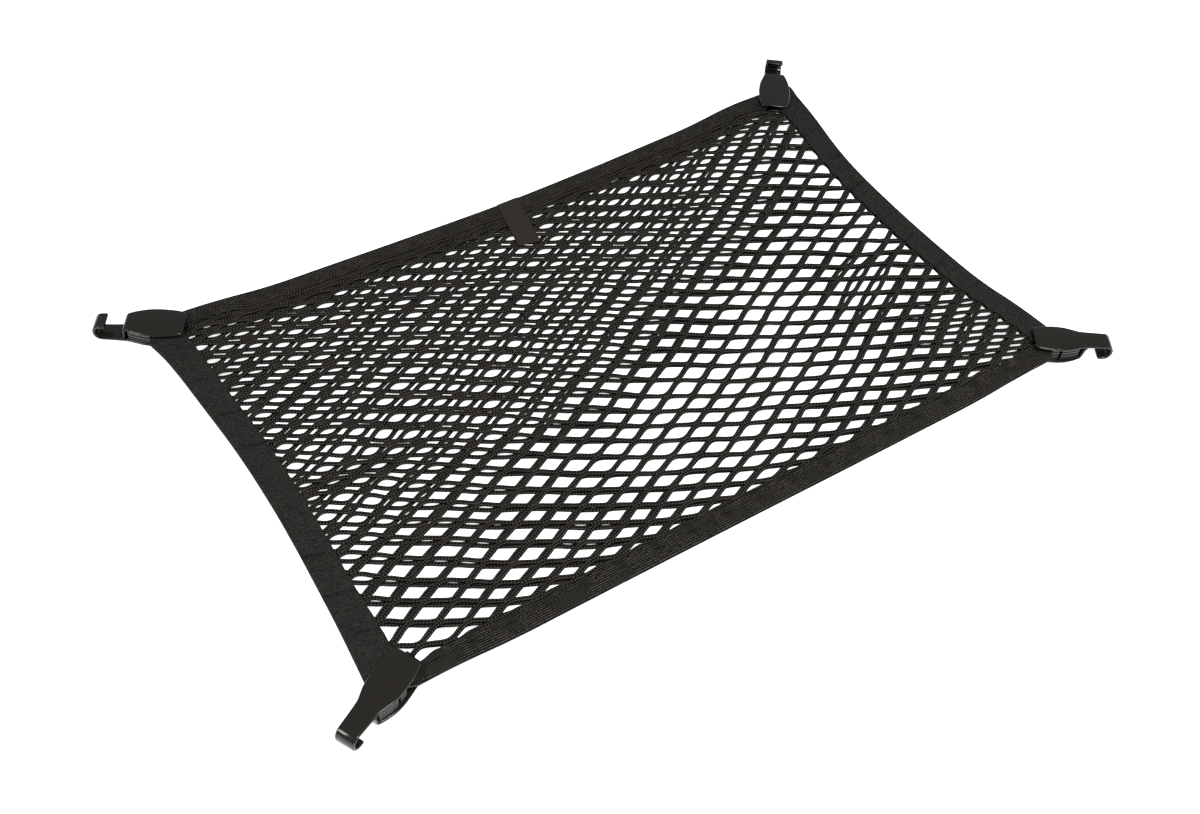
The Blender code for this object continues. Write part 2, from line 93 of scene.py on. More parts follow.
WALLS_IN = 1.6  # from the outline to the block and the walls
WALL_HEIGHTS = (2.2, 4.6, 4.9, 5.5, 5.8, 8.6, 8.9, 9.5, 9.8, 12.4, 12.7, 13.3, 13.6, 14.8)
WALL_INSETS = (0, 0, 0.5, 0.5, 0, 0, 0.5, 0.5, 0, 0, 0.5, 0.5, 0, 0)
JAW_FROM, JAW_TO, JAW_HALF, JAW_EASE = 6.0, 26.0, 8.0, 0.4
JAW_END = 1.8  # its end inside a plate, from the hook's outer face
CLAMP_AT, LEVEL_RADIUS, SLOPE_LENGTH = 13.0, 22.0, 100.0

# What stands at a hook's net end: a wall that keeps the corner from sliding out, and a
# round bar across it half way up. Columns: first and last place along, first and last
# height, half width, thickness, rounding.
NET_END_STRIPS = {
    "tongue": (-1.45, -1.45, 1.0, 13.0, 4.0, 1.5, 0.6),
    "bar": (-3.0, 0.1, HOOK_HIGH / 2, HOOK_HIGH / 2, 7.3, 3.1, 1.45),
}

# Ribbon tab
TAB_WIDE, TAB_THICK = 23.0, 1.2
TAB_TRIM = 0.5  # from the elastic's outer edge to the tab's sewn end
TAB_TOP, TAB_END = (8.0, 208.4), (-4.0, 145.5)
TAB_STEP = (0.3, 0.7)  # shares of its length between which it comes down off the band
TAB_ROWS = 41
TAB_EASE = 0.6
TAB_KEEPS = 0.15  # square of the share of thickness left at its ends
# The ribbon's section, point by point once round. Rows: share of the half width,
# millimetres more, share of the thickness.
TAB_SECTION = (
    (-1, -1, -1, 0, 1, 1, 1, 1, 1, 0, -1, -1),
    (0, 0.3, 1.5, 0, -1.5, -0.3, 0, -0.3, -1.5, 0, 1.5, 0.3),
    (0.5, 0.9, 1, 1, 1, 0.9, 0.5, 0.1, 0, 0, 0, 0.1),
)
# The box of stitches that holds it to the elastic. Columns: aside, down from its top.
TAB_BOX = ((-9.0, 5.0), (9.0, 2.5), (9.0, 14.0), (-9.0, 16.5), (-9.0, 5.0))
TAB_THREAD_LIFT = 0.05

# Columns: net-end x, net-end y, heading in degrees, upside down, and how far the plates
# reach past the solid's net end and past its J.
HOOKS = {
    "front_left": (-326.8, -203.3, 206.4, True, 5.0, 0.0),
    "front_right": (327.9, -202.0, -33.9, True, -2.5, -1.0),
    "back_left": (-332.0, 202.6, 147.0, False, 1.7, 2.6),
    "back_right": (323.7, 185.5, 52.4, False, 1.5, 5.5),
}
WIDEST_AT, COVER_WIDER = 24.0, 1.09
# columns: distance from the net end, half width
HOOK_OUTLINE = (
    (0.0, 10.4),
    (1.0, 11.9),
    (4.0, 13.1),
    (12.0, 14.6),
    (24.0, 15.2),
    (34.0, 14.2),
    (42.0, 11.9),
    (47.0, 10.4),
    (53.0, 9.8),
    (63.0, 9.3),
    (80.0, 8.7),
)

# columns: outer edge x, outer edge y, inner edge x, inner edge y
BANDS = {
    "left": (
        (-360.9, -200.4, -328.8, -198.0),
        (-358.5, -175.0, -328.4, -175.0),
        (-353.6, -120.0, -326.6, -120.0),
        (-349.9, -55.0, -323.7, -55.0),
        (-348.7, 0.0, -322.6, 0.0),
        (-350.0, 60.0, -323.9, 60.0),
        (-354.6, 120.0, -328.0, 120.0),
        (-360.6, 172.0, -332.2, 172.0),
        (-366.4, 201.0, -334.6, 197.0),
    ),
    "right": (
        (356.8, -200.4, 331.2, -197.5),
        (353.8, -172.0, 328.6, -172.0),
        (348.8, -120.0, 323.4, -120.0),
        (345.3, -55.0, 319.8, -55.0),
        (344.3, 0.0, 318.8, 0.0),
        (345.8, 60.0, 320.2, 60.0),
        (351.2, 120.0, 325.0, 120.0),
        (357.6, 165.0, 329.4, 163.0),
        (360.8, 190.0, 329.8, 181.4),
        (364.2, 210.0, 330.4, 184.0),
        (352.4, 199.4, 331.0, 186.4),
    ),
    "front": (
        (-327.5, -223.8, -317.0, -206.2),
        (-290.0, -223.4, -288.0, -204.3),
        (-200.0, -223.5, -200.0, -204.1),
        (-100.0, -224.2, -100.0, -204.8),
        (0.0, -225.2, 0.0, -205.8),
        (100.0, -226.4, 100.0, -206.9),
        (200.0, -227.3, 200.0, -207.8),
        (290.0, -228.0, 288.0, -208.4),
        (328.5, -228.3, 317.0, -207.5),
    ),
    "back": (
        (-327.5, 222.6, -322.0, 206.5),
        (-285.0, 220.2, -283.0, 201.8),
        (-196.0, 216.3, -196.0, 197.9),
        (-100.0, 212.0, -100.0, 193.6),
        (0.0, 208.6, 0.0, 190.2),
        (100.0, 209.4, 100.0, 191.0),
        (196.0, 212.4, 196.0, 194.0),
        (280.0, 214.9, 278.0, 196.2),
        (325.9, 213.8, 313.0, 192.5),
    ),
}
BAND_HOOKS = {
    "left": ("front_left", "back_left"),
    "right": ("front_right", "back_right"),
    "front": ("front_left", "front_right"),
    "back": ("back_left", "back_right"),
}
MITRE_IN, MITRE_OUT, MITRE_HALF_GAP = 5.0, 27.0, 0.4

# How the netting has drifted from an even lattice, as it shows against the lattice laid
# 2 mm above the floor. Both layers share the first two tables, and the upper layer is
# parted from the lower one by the third. Columns from left to right at x = -300, -150,
# 0, 150, 300; rows from back to front at y = 180, 90, 0, -90, -180.
DRIFT_X, DRIFT_Y = (-300.0, 300.0, 5), (180.0, -180.0, 5)
DRIFT_BEYOND = 0.9  # of the tables' step, as far as they are drawn on past their ends
DRIFT_LEVEL = 2.0
DRIFT_RIGHT = (
    (8, 13, 17, 19, 21),
    (21, 23, 19, 18, 19),
    (22, 28, 22, 18, 23),
    (19, 27, 25, 22, 21),
    (18, 22, 29, 34, 35),
)
DRIFT_BACK = (
    (3, -8, -15, -20, -5),
    (11, 0, -9, -16, -16),
    (12, -2, -12, -17, -22),
    (10, -5, -15, -19, -19),
    (1, -3, -7, -13, -15),
)
PARTED_RIGHT = (
    (18, 20, 19, 22, 14),
    (15, 17, 17, 18, 5),
    (18, 21, 14, 4, 3),
    (13, 7, 0, 1, 5),
    (3, 8, 3, 5, 10),
)
PARTED_BACK = 0.17  # the parting to the back, as a share of the one to the right

# Rows are drawn up where an elastic gathers them: reach from its edge, then how far the
# mesh at the edge stays behind.
GATHERS = {"front": (30.0, 6.0), "back": (24.0, 11.0)}
GATHER_MOST = 1.6  # most of a gather's share before it is squared
# Cords draw together in places. Columns: x, y, reach along x, reach along y, pull.
PINCHES = ((-285, -14, 62, 20, 6.0), (288, -36, 46, 16, 4.0))
# The layers part further in places. Columns: x, y, reach, further right, further back.
PARTED_HERE = ((246, -62, 44, 8.0, -4.0), (300, -142, 40, 8.0, 2.5))
# Slow waves by which a knitted mesh wanders from its place. Columns: how far right and
# back, millimetres to a radian along x and along y, turn between the two layers.
WANDER = (
    (0.9, 0, 31, 17, 5),
    (0.9, 0, -13, 29, 0),
    (0, 0.54, 19, -23, 4),
    (0, 0.54, 37, 11, 0),
)
SETTLE_STEPS = 30  # to find where a drifted point comes to lie

# Cords of the netting's selvedge that run along the elastics. Columns: side, layer,
# millimetres in from the elastic's edge, wave and its length, lift over the elastic.
SELVEDGE = (
    ("back", "top", -3.4, 1.1, 47.0, 1.6),
    ("back", "top", 1.2, 1.5, 61.0, 0.9),
    ("back", "top", 6.0, 1.7, 53.0, 0.0),
    ("back", "bottom", 3.4, 1.6, 43.0, 0.0),
    ("back", "bottom", 9.0, 1.8, 67.0, 0.0),
    ("front", "top", 1.4, 1.2, 39.0, 0.0),
    ("front", "bottom", 2.6, 1.3, 51.0, 0.0),
)
SELVEDGE_ENDS = (-312.0, 308.0)
SELVEDGE_HALF_THICK = 0.7
SELVEDGE_FADE = 91.0  # millimetres to a radian of the slow rise and fall of its waves
# Near the hooks these cords go in under the elastic: how far, from this |x|, over this.
TUCK, TUCK_FROM, TUCK_OVER = 9.0, 268.0, 36.0

# Camera: place and the floor point in the middle of the picture, in metres.
CAMERA_PLACE = (-0.5629, -0.7399, 1.0124)
CAMERA_AIM = (-0.0528, -0.0583, 0.0)
CAMERA_ROLL = 4.83  # degrees
CAMERA_LENS, CAMERA_SENSOR = 44.81, 36.0


# ---------------- plan shapes


def hook_axes(name):
    """The hook's net-end point and its outward and leftward directions, in plan."""
    x, y, heading = HOOKS[name][:3]
    angle = math.radians(heading)
    outward = np.array((math.cos(angle), math.sin(angle)))
    return np.array((x, y)) + TABLE_SHIFT, outward, np.array((-outward[1], outward[0]))


def hook_point(name, along, aside):
    """The plan point this far out along the hook and this far to its left."""
    start, outward, leftward = hook_axes(name)
    return start + along * outward + aside * leftward


def side_of(name, point):
    """-1 or 1: the side of the hook's axis on which the plan point lies."""
    start, _, leftward = hook_axes(name)
    return math.copysign(1.0, (np.asarray(point) - start) @ leftward)


def rise(points):
    """Height above the floor's lie: full inside a clamp, then down two joined parabolas."""
    points = np.asarray(points, float)
    clamps = np.array([hook_point(name, CLAMP_AT, 0.0) for name in HOOKS])
    away = np.linalg.norm(points[..., None, :2] - clamps, axis=-1).min(axis=-1)
    share = np.clip((away - LEVEL_RADIUS) / SLOPE_LENGTH, 0.0, 1.0)
    fall = np.where(share < 0.5, 2 * share**2, 1 - 2 * (1 - share) ** 2)
    return (HOOK_HIGH - STACK_THICK) / 2 * (1 - fall)


def smooth_rows(rows, samples):
    """A Catmull-Rom curve through the rows, with this many samples to each interval."""
    rows = np.asarray(rows, float)
    ends = np.vstack((2 * rows[0] - rows[1], rows, 2 * rows[-1] - rows[-2]))
    place = np.linspace(0, len(rows) - 1, samples * (len(rows) - 1) + 1)
    first = np.minimum(place.astype(int), len(rows) - 2)
    t = (place - first)[:, None]
    a, b, c, d = (ends[first + step] for step in range(4))
    square, cube = 2 * a - 5 * b + 4 * c - d, 3 * b - a - 3 * c + d
    return 0.5 * (2 * b + (c - a) * t + square * t**2 + cube * t**3)


def run_along(points):
    """How far each point of a line lies along it."""
    steps = np.linalg.norm(np.diff(points, axis=0), axis=1)
    return np.concatenate(((0.0,), np.cumsum(steps)))


def read_at(at, run, points):
    """A line's points at these distances along it; run holds its own points' distances."""
    return np.column_stack([np.interp(at, run, column) for column in points.T])


def even_rows(rows, step):
    """The same line through the rows, in points this far apart along the outer edge."""
    run = run_along(rows[:, :2])
    at = np.linspace(0.0, run[-1], int(run[-1] / step) + 1)
    return read_at(at, run, rows), at


def band_line(side):
    """Outer and inner edge points along a band, ending at the mitre inside each hook."""
    body = smooth_rows(BANDS[side], samples=12) + np.tile(TABLE_SHIFT, 2)
    ends = []
    for hook, near in zip(BAND_HOOKS[side], (body[0], body[-1])):
        aside = MITRE_HALF_GAP * side_of(hook, near[:2])
        mitre = [hook_point(hook, along, aside) for along in (MITRE_OUT, MITRE_IN)]
        ends.append(np.concatenate(mitre))
    return np.vstack((ends[0], body, ends[1]))


LINES = {side: band_line(side) for side in BANDS}


def inner_edge(side, along, place):
    """A side's inner edge: its other coordinate where this one has the given values."""
    rows = LINES[side][:, 2:]
    order = np.argsort(rows[:, along])
    return np.interp(place, rows[order, along], rows[order, 1 - along])


def inside_bands(plan):
    """How far each plan point lies inside the nearest inner edge; negative under a band."""
    x, y = plan[..., 0], plan[..., 1]
    return np.minimum.reduce(
        (
            x - inner_edge("left", 1, y),
            inner_edge("right", 1, y) - x,
            y - inner_edge("front", 0, x),
            inner_edge("back", 0, x) - y,
        )
    )


# ---------------- mesh builders


def swept(name, rings, across, along, joined=None):
    """A closed tube through rings of points (millimetres), with its ends capped.

    Ring i is joined to ring i + 1 where joined[i] is true, so one mesh can hold many
    tubes. The map "lie" holds each point's place across and along the piece."""
    rings = np.asarray(rings, float)
    count, size, _ = rings.shape
    joined = np.ones(count - 1, bool) if joined is None else np.asarray(joined[: count - 1])
    index = np.arange(count * size).reshape(count, size)
    after = np.roll(index, -1, axis=1)
    walls = np.stack((index[:-1], after[:-1], after[1:], index[1:]), axis=2)
    walls = walls[joined].reshape(-1, 4)
    starts = np.concatenate(((True,), ~joined))
    ends = np.concatenate((~joined, (True,)))
    faces = [*walls.tolist(), *index[starts][:, ::-1].tolist(), *index[ends].tolist()]
    mesh = bpy.data.meshes.new(name)
    mesh.from_pydata((rings.reshape(-1, 3) * MM).tolist(), [], faces)
    corner = np.empty(len(mesh.loops), np.int32)
    mesh.loops.foreach_get("vertex_index", corner)
    lie = np.stack([np.broadcast_to(way, (count, size)) for way in (across, along)], 2)
    layer = mesh.uv_layers.new(name="lie")
    layer.data.foreach_set("uv", lie.reshape(-1, 2)[corner].astype(np.float32).ravel())
    mesh.polygons.foreach_set("use_smooth", np.ones(len(mesh.polygons), bool))
    return mesh


def linked(name, data):
    """A new object of the scene that holds this data."""
    obj = bpy.data.objects.new(name, data)
    bpy.context.scene.collection.objects.link(obj)
    return obj


def outward(mesh):
    """Turns a closed mesh's faces outwards when its volume comes out negative."""
    mesh.calc_loop_triangles()
    corners = np.empty(len(mesh.loop_triangles) * 3, np.int32)
    mesh.loop_triangles.foreach_get("vertices", corners)
    points = np.empty(len(mesh.vertices) * 3, np.float32)
    mesh.vertices.foreach_get("co", points)
    if np.linalg.det(points.reshape(-1, 3)[corners.reshape(-1, 3)].astype(float)).sum() < 0:
        mesh.flip_normals()
    return mesh


def place_piece(name, mesh, material, slot, *nodes):
    """Puts a finished mesh in the scene in place of CAD nodes."""
    obj = linked(name, outward(mesh))
    mesh.materials.append(material)
    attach(obj, "root")
    if nodes:
        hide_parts(*nodes)
    return obj


def joined_meshes(name, meshes):
    """One mesh from several, keeping their maps."""
    holders = [linked(name, outward(mesh)) for mesh in meshes]
    with bpy.context.temp_override(
        active_object=holders[0], selected_editable_objects=holders, selected_objects=holders
    ):
        bpy.ops.object.join()
    mesh = holders[0].data
    bpy.data.objects.remove(holders[0])
    return mesh


# ---------------- materials

# Pitches of what shows on each material, in millimetres.
KNIT, TWILL, WARP, CREASE = 2.7, 2.4, 1.3, 43.0
RUBBER_ROW, WEFT = 2.1, 2.2
RIBBON_RIB, PLY = 1.4, 0.9
# Millimetres along that a slanted pattern shifts for each one across.
KNIT_SLANT, TWILL_SLANT, CREASE_SLANT = 0.8, 0.7, 0.25
SEAM_SHADE_REACH = (0.4, 1.3)  # from a seam's middle: painted shade of the drawn-in groove full to the first, none at the second
JOINT_SHOWS = (-13.0, -7.0)  # across an elastic: none at the first, full at the second
PLASTIC_GRAIN = 900.0  # grains to a metre, 1.1 mm each
NOISE, MAP_RANGE = "ShaderNodeTexNoise", "ShaderNodeMapRange"


def colour(code):
    """An sRGB hex colour as linear RGBA."""
    value = np.array([int(code[i : i + 2], 16) for i in (1, 3, 5)]) / 255
    linear = np.where(value <= 0.04045, value / 12.92, ((value + 0.055) / 1.055) ** 2.4)
    return (*linear.tolist(), 1.0)


def add_node(tree, kind, *inputs, **settings):
    """One node with its settings and links. A kind in capitals is an operation of maths.

    Settings are attributes or inputs by name, and the other inputs come in the node's
    own order. An input takes a value, an output, or a node for its first output."""
    if kind.isupper():
        kind, settings = "ShaderNodeMath", {"operation": kind}
    node = tree.nodes.new(kind)
    for key, value in (*settings.items(), *enumerate(inputs)):
        if isinstance(value, bpy.types.Node):
            value = value.outputs[0]
        if isinstance(value, bpy.types.NodeSocket):
            tree.links.new(value, node.inputs[key])
        elif isinstance(key, str) and hasattr(node, key):
            setattr(node, key, value)
        else:
            node.inputs[key].default_value = value
    return node


def new_material(name, settings):
    """A material with these values on its shader, its node tree and the shader."""
    material = bpy.data.materials.new(name)
    material.use_nodes = True
    tree = material.node_tree
    shader = tree.nodes["Principled BSDF"]
    for key, value in settings.items():
        shader.inputs[key].default_value = value
    return material, tree, shader


def lie_of(tree):
    """Outputs of the lie map: millimetres across and along."""
    place = add_node(tree, "ShaderNodeUVMap", uv_map="lie")
    parts = add_node(tree, "ShaderNodeSeparateXYZ", place)
    return parts.outputs[0], parts.outputs[1]


def two_tone(tree, shader, height, dark, light, low, high):
    """Colours a relief from its grooves to its crowns, between these two heights."""
    ramp = add_node(tree, "ShaderNodeValToRGB", height)
    first, last = ramp.color_ramp.elements
    first.position, first.color = low, colour(dark)
    last.position, last.color = high, colour(light)
    tree.links.new(ramp.outputs[0], shader.inputs["Base Color"])


def relief(tree, shader, height, depth, strength=1.0):
    """Bump of this depth in millimetres."""
    bump = add_node(
        tree, "ShaderNodeBump", Height=height, Strength=strength, Distance=depth * MM
    )
    tree.links.new(bump.outputs[0], shader.inputs["Normal"])


def ridge(tree, value, pitch):
    """A wave from 0 to 1 that repeats each pitch, in millimetres."""
    wave = add_node(tree, "SINE", add_node(tree, "MULTIPLY", value, 2 * math.pi / pitch))
    return add_node(tree, "MULTIPLY_ADD", wave, 0.5, 0.5)


def patches(tree, size, low, high):
    """0 in smooth patches about this many millimetres across, 1 elsewhere."""
    place = add_node(tree, "ShaderNodeTexCoord").outputs["Object"]
    noise = add_node(tree, NOISE, Vector=place, Scale=1.0 / (size * MM), Detail=1.0)
    return add_node(tree, MAP_RANGE, noise, low, high)


def faded(tree, pattern, share, plain):
    """The pattern where the share is 1, and this plain level where it is 0."""
    above = add_node(tree, "SUBTRACT", pattern, plain)
    return add_node(tree, "MULTIPLY_ADD", above, share, plain)


def painted_seam_shade(tree, across, low):
    """Painted shade in the seam's groove, where the thread draws it in: 1 on a band, this
    low in it.
    """
    away = add_node(tree, "ABSOLUTE", add_node(tree, "ADD", across, SEAM_IN))
    return add_node(tree, MAP_RANGE, away, *SEAM_SHADE_REACH, low)


def knitted_cord():
    """Knitted polyester cord: matt black yarn in a herringbone, drawn at 2.7 mm to show.

    Slanted loops meet in a V along the cord's middle. Their crowns, half way from it to
    each edge, are painted light as a painted highlight, and the cord's middle and edges
    are painted near black as painted shade."""
    material, tree, shader = new_material(
        "knitted polyester cord", {"Roughness": 0.8, "Specular IOR Level": 0.1}
    )
    across, along = lie_of(tree)
    aside = add_node(tree, "ABSOLUTE", across)
    slanted = add_node(tree, "MULTIPLY_ADD", aside, KNIT_SLANT, along)
    loops = faded(tree, ridge(tree, slanted, KNIT), patches(tree, 11.0, 0.3, 0.5), 0.55)
    # Across the cord: 0 at its middle and edges, where the colour below paints shade, and 1
    # at the crowns, where it paints a highlight.
    turn = add_node(tree, "MULTIPLY", aside, 2 * math.pi / CORD_WIDE)
    wale = add_node(tree, "MAXIMUM", add_node(tree, "SINE", turn), 0.0)
    wale = add_node(tree, "POWER", wale, 1.7)
    crowns_and_painted_light = add_node(tree, "MULTIPLY", loops, wale)
    # Painted highlight on the knit's crowns, and painted shade, near black, at the cord's
    # middle and edges.
    two_tone(tree, shader, crowns_and_painted_light, "#030302", "#5c5751", 0.08, 1.0)
    relief(tree, shader, crowns_and_painted_light, 0.7)
    return material


def woven_webbing():
    """Woven polyester webbing: a close twill, drawn at 2.4 mm so that it shows, over warp
    ends 1.3 mm wide, with a faint crease across it here and there, bumped and painted
    darker as painted shade."""
    material, tree, shader = new_material(
        "woven polyester webbing", {"Roughness": 0.75, "Specular IOR Level": 0.12}
    )
    across, along = lie_of(tree)
    slanted = add_node(tree, "MULTIPLY_ADD", across, TWILL_SLANT, along)
    twill, ends = ridge(tree, slanted, TWILL), ridge(tree, across, WARP)
    weave = add_node(tree, "MULTIPLY", twill, ends)
    weave = add_node(tree, "MULTIPLY_ADD", weave, 0.7, 0.15)
    weave = faded(tree, weave, patches(tree, 14.0, 0.3, 0.6), 0.33)
    # Faint creases across the band: bumped, and painted darker as painted shade.
    slanted = add_node(tree, "MULTIPLY_ADD", across, CREASE_SLANT, along)
    creases_and_shade = add_node(tree, "POWER", ridge(tree, slanted, CREASE), 60.0)
    creases_and_shade = add_node(tree, "MULTIPLY", creases_and_shade, patches(tree, 26.0, 0.42, 0.56))
    weave = add_node(tree, "MULTIPLY_ADD", creases_and_shade, -0.2, weave)
    grain = add_node(tree, "MULTIPLY_ADD", patches(tree, 2.0, 0.35, 0.65), 0.85, 0.48)
    weave = add_node(tree, "MULTIPLY", weave, grain)
    # Painted shade along the seam's groove.
    weave = add_node(tree, "MULTIPLY", weave, painted_seam_shade(tree, across, 0.8))
    two_tone(tree, shader, weave, "#090908", "#474440", 0.0, 1.0)
    relief(tree, shader, weave, 0.3)
    return material


def ribbed_elastic():
    """Woven elastic: lengthwise rows over the covered rubber ends, drawn at 2.1 mm to
    show, crossed by the weft at 2.2 mm. It is drawn in dark and smooth where a joint of
    the mesh lies sewn under it, and worn smooth in patches."""
    material, tree, shader = new_material(
        "woven ribbed elastic", {"Roughness": 0.75, "Specular IOR Level": 0.1}
    )
    across, along = lie_of(tree)
    weft = add_node(tree, "MULTIPLY_ADD", ridge(tree, along, WEFT), 0.6, 0.4)
    rib = add_node(tree, "MULTIPLY", ridge(tree, across, RUBBER_ROW), weft)
    mottle = add_node(tree, "MULTIPLY_ADD", patches(tree, 2.2, 0.3, 0.6), 0.6, 0.4)
    rib = add_node(tree, "MULTIPLY", rib, mottle)
    rib = faded(tree, rib, patches(tree, 24.0, 0.33, 0.5), 0.3)
    joint = add_node(tree, "POWER", ridge(tree, along, JOINT_PITCH), 7.0)
    near_edge = add_node(tree, MAP_RANGE, across, *JOINT_SHOWS)
    drawn_in = add_node(tree, "MULTIPLY", joint, near_edge)
    rib = faded(tree, rib, add_node(tree, "SUBTRACT", 1.0, drawn_in), 0.27)
    # Painted shade along the seam's groove.
    rib = add_node(tree, "MULTIPLY", rib, painted_seam_shade(tree, across, 0.75))
    two_tone(tree, shader, rib, "#0c0b0a", "#68635c", 0.2, 1.0)
    relief(tree, shader, rib, 0.4)
    return material


def grosgrain_ribbon():
    """Polyester grosgrain ribbon: close cross ribs, drawn at 1.4 mm to show."""
    material, tree, shader = new_material(
        "polyester grosgrain ribbon", {"Roughness": 0.7, "Specular IOR Level": 0.15}
    )
    _, along = lie_of(tree)
    rib = faded(tree, ridge(tree, along, RIBBON_RIB), patches(tree, 30.0, 0.3, 0.7), 0.5)
    two_tone(tree, shader, rib, "#24201c", "#34302c", 0.0, 1.0)
    relief(tree, shader, rib, 0.15)
    return material


def sewing_thread():
    """Bonded polyester sewing thread, a shade lighter than the bands, with a soft shine."""
    material, tree, shader = new_material(
        "bonded polyester thread", {"Roughness": 0.5, "Specular IOR Level": 0.3}
    )
    _, along = lie_of(tree)
    ply = ridge(tree, along, PLY)
    two_tone(tree, shader, ply, "#262422", "#464340", 0.0, 1.0)
    relief(tree, shader, ply, 0.1)
    return material


def moulded_plastic():
    """Injection-moulded black polypropylene: nearly smooth, with a shine along edges."""
    material, tree, shader = new_material(
        "moulded black polypropylene", {"Roughness": 0.16, "IOR": 1.49}
    )
    shader.inputs["Base Color"].default_value = colour("#1d1a16")
    place = add_node(tree, "ShaderNodeTexCoord").outputs["Object"]
    grain = add_node(tree, NOISE, Vector=place, Scale=PLASTIC_GRAIN, Detail=3.0)
    relief(tree, shader, grain, 0.05, 0.05)
    return material


CORD = knitted_cord()
WEBBING = woven_webbing()
ELASTIC = ribbed_elastic()
RIBBON = grosgrain_ribbon()
THREAD = sewing_thread()
PLASTIC = moulded_plastic()


# ---------------- netting


def station_weights(place, stations):
    """Catmull-Rom weights of each station at each place, straight beyond the ends."""
    first, last, count = stations
    at = (place - first) / (last - first) * (count - 1)
    at = np.clip(at, -DRIFT_BEYOND, count - 1 + DRIFT_BEYOND)
    base = np.clip(np.floor(at).astype(int), -1, count - 1)
    t = at - base
    shares = 0.5 * np.stack(
        (
            -t + 2 * t**2 - t**3,
            2 - 5 * t**2 + 3 * t**3,
            t + 4 * t**2 - 3 * t**3,
            -(t**2) + t**3,
        )
    )
    beyond = np.zeros((count + 4, count))
    beyond[2:-2] = np.eye(count)
    beyond[1, :2], beyond[0, :2] = (2, -1), (3, -2)
    beyond[-2, -2:], beyond[-1, -2:] = (-1, 2), (-2, 3)
    return sum(shares[step][..., None] * beyond[base + 1 + step] for step in range(4))


def drift_at(x, y, share):
    """A layer's drift at plan points: the shared tables, this share of the parting, the
    gathers along the elastics, the pinches and the slow waves."""
    wx, wy = station_weights(x, DRIFT_X), station_weights(y, DRIFT_Y)
    shared_right, shared_back, parted = (
        np.einsum("...i,...j,ij->...", wy, wx, np.array(table, float))
        for table in (DRIFT_RIGHT, DRIFT_BACK, PARTED_RIGHT)
    )
    right = shared_right + share * parted
    back = shared_back + share * PARTED_BACK * parted
    for place_x, place_y, reach, further_right, further_back in PARTED_HERE:
        near = np.exp(-(((x - place_x) / reach) ** 2) - ((y - place_y) / reach) ** 2)
        right = right + share * further_right * near
        back = back + share * further_back * near
    for side, sign in (("front", 1), ("back", -1)):
        reach, behind = GATHERS[side]
        depth = sign * (y - inner_edge(side, 0, x))
        back = back + sign * behind * np.clip(1 - depth / reach, 0.0, GATHER_MOST) ** 2
    for place_x, place_y, reach_x, reach_y, pull in PINCHES:
        dx, dy = (x - place_x) / reach_x, (y - place_y) / reach_y
        back = back - pull * dy * np.exp(0.5 - dx**2 - dy**2)
    for far_right, far_back, long_x, long_y, turn in WANDER:
        wave = np.sin(x / long_x + y / long_y + turn * share)
        right, back = right + far_right * wave, back + far_back * wave
    return right, back


def drifted(u, v, share):
    """Where the even lattice's points lie. The drift is read at the place itself, so the
    place is found by going half way to each new reading until it settles."""
    x, y = u.copy(), v.copy()
    for _ in range(SETTLE_STEPS):
        right, back = drift_at(x, y, share)
        x, y = (x + u + right) / 2, (y + v + back) / 2
    return x, y


def cord_lines(share):
    """Plan points of every cord, one row a cord.

    Knotless netting is knitted from cords that zigzag between two rows of joints and lie
    beside the next cord at each joint. A cord is a triangle wave with rounded peaks,
    asin(s cos(pi t)) over asin(s), half a mesh high less the joint's half width."""
    half_long, half_short = MESH_LONG / 2, MESH_SHORT / 2
    places = np.arange(*CORD_REACH, CORD_STEP / half_long)
    row, at = np.meshgrid(np.arange(*CORD_ROWS), places, indexing="ij")
    wave = np.arcsin(BEND_SHARP * np.cos(np.pi * (at - row))) / math.asin(BEND_SHARP)
    v = half_short * (row + 0.5) + (half_short / 2 - JOINT_HALF) * wave
    return np.stack(drifted(half_long * at, v, share), axis=2)


def layer_height(plan, middle):
    """The height of a layer's middle, and how much of its open thickness it has there."""
    t = np.clip(inside_bands(plan) / EDGE_BLEND, 0.0, 1.0)
    open_share = t * t * (3 - 2 * t)
    stack_middle = STACK_THICK / 2
    from_middle = (NET_EDGE_THICK + CLEARANCE) / 2
    held = stack_middle + math.copysign(from_middle, middle - stack_middle)
    return held + (middle - held) * open_share + rise(plan), open_share


def slid_to_layer(plan, middle):
    """Moves points read at the drift's level along the lines of sight to their layer.

    The layer's height depends on the place, so it is read twice."""
    eye = np.array(CAMERA_PLACE) / MM
    slid = plan
    for _ in range(2):
        height, _ = layer_height(slid, middle)
        share = (eye[2] - height) / (eye[2] - DRIFT_LEVEL)
        slid = eye[:2] + (plan - eye[:2]) * share[..., None]
    return slid


def cord_rings(plan, centre, half):
    """Flat eight-sided sections along the cords, at these heights and half thicknesses."""
    ahead = np.gradient(plan, axis=1)
    ahead /= np.linalg.norm(ahead, axis=2, keepdims=True)
    aside = np.stack((-ahead[..., 1], ahead[..., 0]), axis=2)
    near = CORD_SHOULDER
    high = np.array((0.0, near, 1.0, near, 0.0, -near, -1.0, -near))
    wide = CORD_WIDE / 2 * np.roll(high, -2)
    points = plan[:, :, None, :] + aside[:, :, None, :] * wide[:, None]
    height = centre[..., None] + half[..., None] * high
    return np.concatenate((points, height[..., None]), axis=3), wide


def selvedge_lines(layer):
    """Plan points of the cords that run along an elastic, and how far each is lifted."""
    lines, lifts = [], []
    x = np.arange(*SELVEDGE_ENDS, CORD_STEP)
    tucked = TUCK * np.clip((np.abs(x) - TUCK_FROM) / TUCK_OVER, 0.0, 1.0)
    for side, row_layer, depth, wave, wave_long, lift in SELVEDGE:
        if row_layer == layer:
            inward = 1 if side == "front" else -1
            fade = np.cos(x / SELVEDGE_FADE + depth)
            inside = depth + wave * np.sin(2 * np.pi * x / wave_long) * fade - tucked
            lines.append(np.column_stack((x, inner_edge(side, 0, x) + inward * inside)))
            lifts.append(lift)
    return np.array(lines), np.array(lifts)


